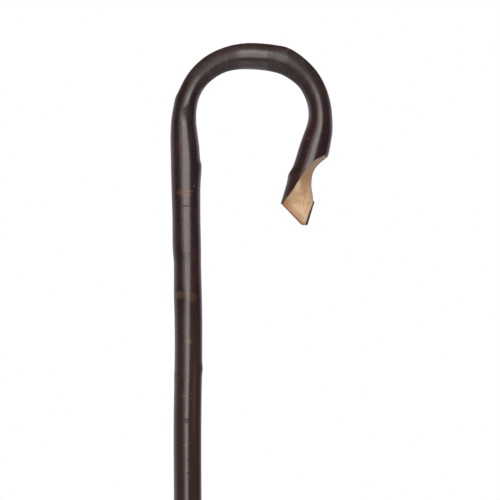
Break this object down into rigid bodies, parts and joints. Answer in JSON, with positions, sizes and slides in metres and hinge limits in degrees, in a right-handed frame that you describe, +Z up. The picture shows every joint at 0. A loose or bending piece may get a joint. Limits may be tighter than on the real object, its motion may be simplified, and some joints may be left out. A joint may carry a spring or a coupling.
{
  "type": "shepherd crook",
  "caption": "Bark-on wooden crook: a long straight shank bent into a hook with a carved, flattened nose and a metal ferrule at the foot, for catching and steadying sheep or as a walking aid.",
  "frame": {"origin": "centre of the ferrule's flat base, where the crook stands on the ground", "axes": "+Z up along the shank, +X from the shank towards the mouth and nose of the hook, the hook lies in the XZ plane and its carved front faces -Y"},
  "size_m": [0.1544, 0.031, 1.2195],
  "materials": {
    "carved_wood": "knife-cut bare wood, lightly oiled",
    "bark": "dark brown bark, varnished to a satin gloss",
    "ferrule_brass": "satin, lightly worn",
    "ferrule_steel": "worn and scratched"
  },
  "bodies": {
    "root": {"stick_wood": "carved_wood", "stick_bark": "bark", "nose_tip_bark": "bark", "ferrule_sleeve": "ferrule_brass", "ferrule_tip": "ferrule_steel", "ferrule_pins": "ferrule_brass"}
  },
  "joints": []
}
